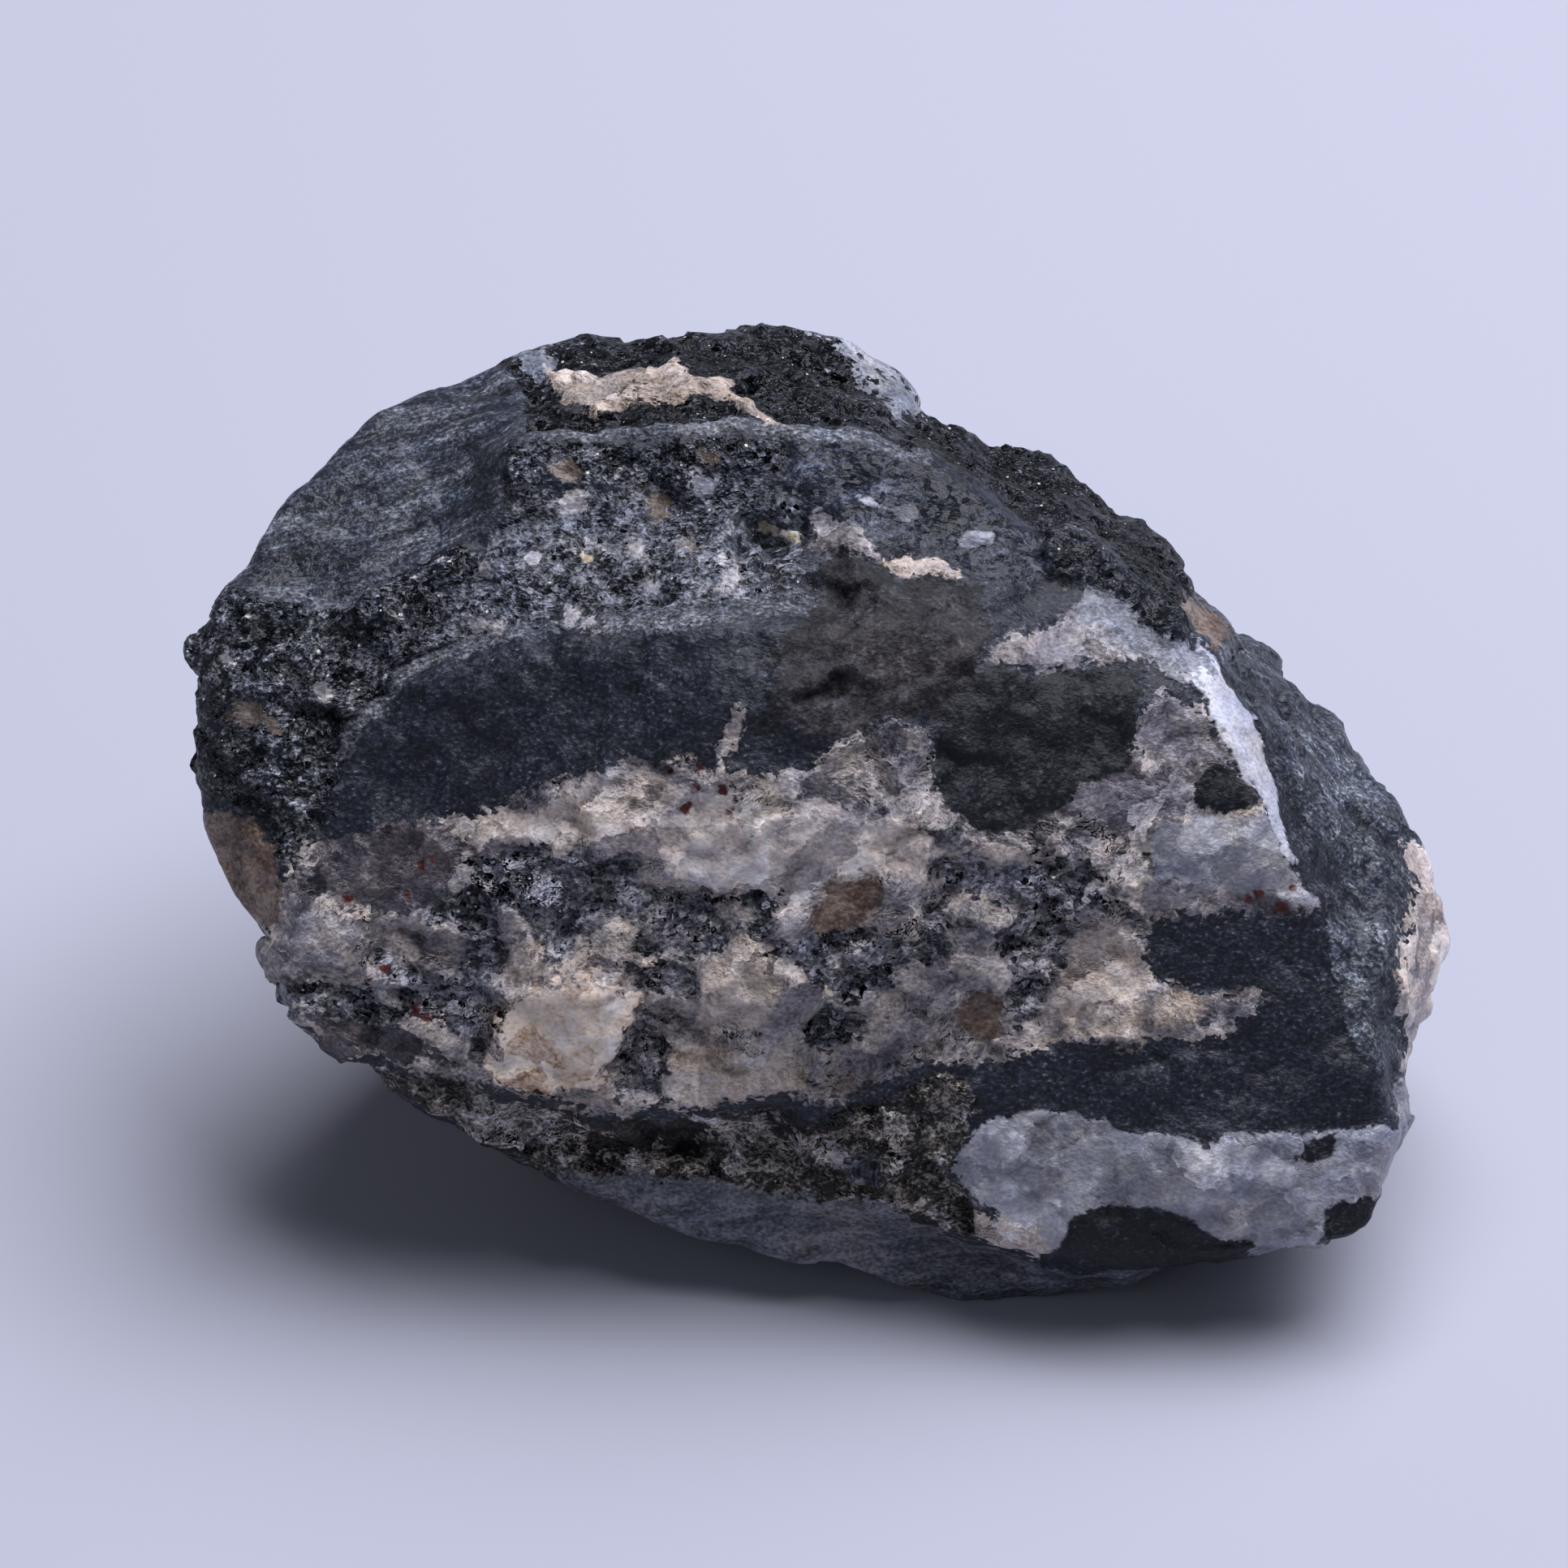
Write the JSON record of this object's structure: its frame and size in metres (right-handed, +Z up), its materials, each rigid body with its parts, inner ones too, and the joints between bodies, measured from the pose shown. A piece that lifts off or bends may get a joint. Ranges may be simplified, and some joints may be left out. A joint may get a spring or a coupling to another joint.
{
  "type": "wolframite specimen",
  "caption": "Palm-sized broken piece of dark schist with quartz and feldspar veins, resting on a small flat spot.",
  "frame": {"origin": "bottom centre of the stone's box, on the surface it rests on", "axes": "+Z up, +X along the stone's length, -Y towards the big broken show face, which leans back 40 degrees from upright"},
  "size_m": [0.0712, 0.048, 0.043],
  "materials": {
    "stone": "matte"
  },
  "bodies": {
    "root": {"stone": "stone"}
  },
  "joints": []
}
